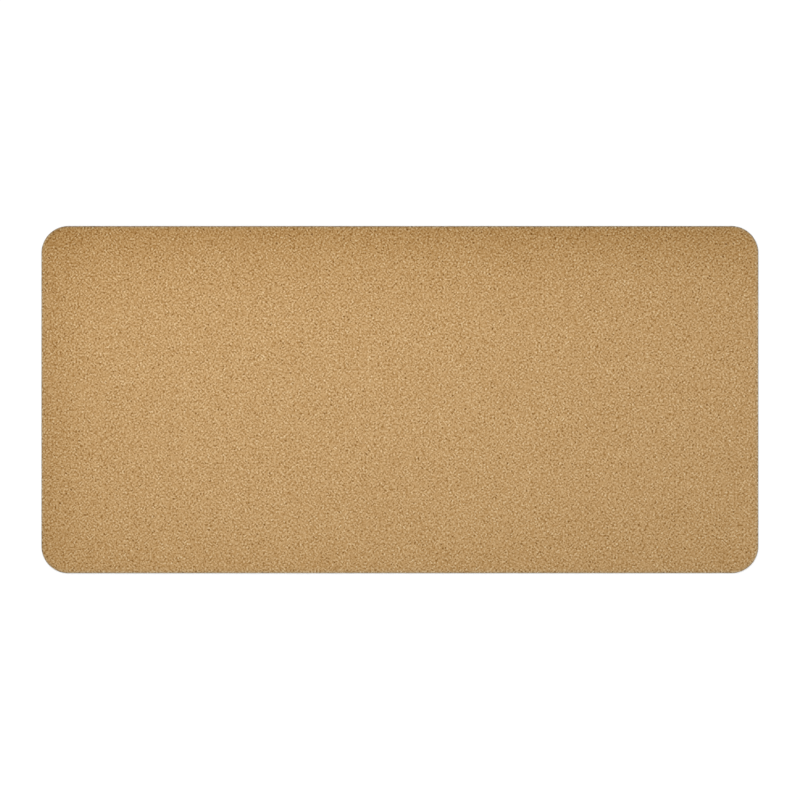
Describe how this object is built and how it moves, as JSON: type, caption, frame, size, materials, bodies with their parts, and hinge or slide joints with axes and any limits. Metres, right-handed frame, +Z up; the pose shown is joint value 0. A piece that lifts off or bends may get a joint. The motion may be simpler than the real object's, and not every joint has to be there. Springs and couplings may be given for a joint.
{
  "type": "mouse pad",
  "caption": "Desk-size mouse pad: a thin flat pressed-cork face laminated through backing cloth to a foamed-rubber base, with rounded corners and plain cut edges.",
  "frame": {"origin": "on the desk, under the middle of the pad: the centre of the rubber base's underside", "axes": "+X along the pad's long side, to the right of the person who works at it; +Y away from that person, across the pad; +Z up, square to the sheets"},
  "size_m": [0.8, 0.3874, 0.003],
  "materials": {
    "foamed_rubber": "matte",
    "glue": "satin",
    "woven_cloth": "matte",
    "pressed_cork": "matte"
  },
  "bodies": {
    "root": {"rubber_base": "foamed_rubber", "base_glue_film": "glue", "backing_cloth": "woven_cloth", "face_glue_film": "glue", "cork_face": "pressed_cork"}
  },
  "joints": []
}
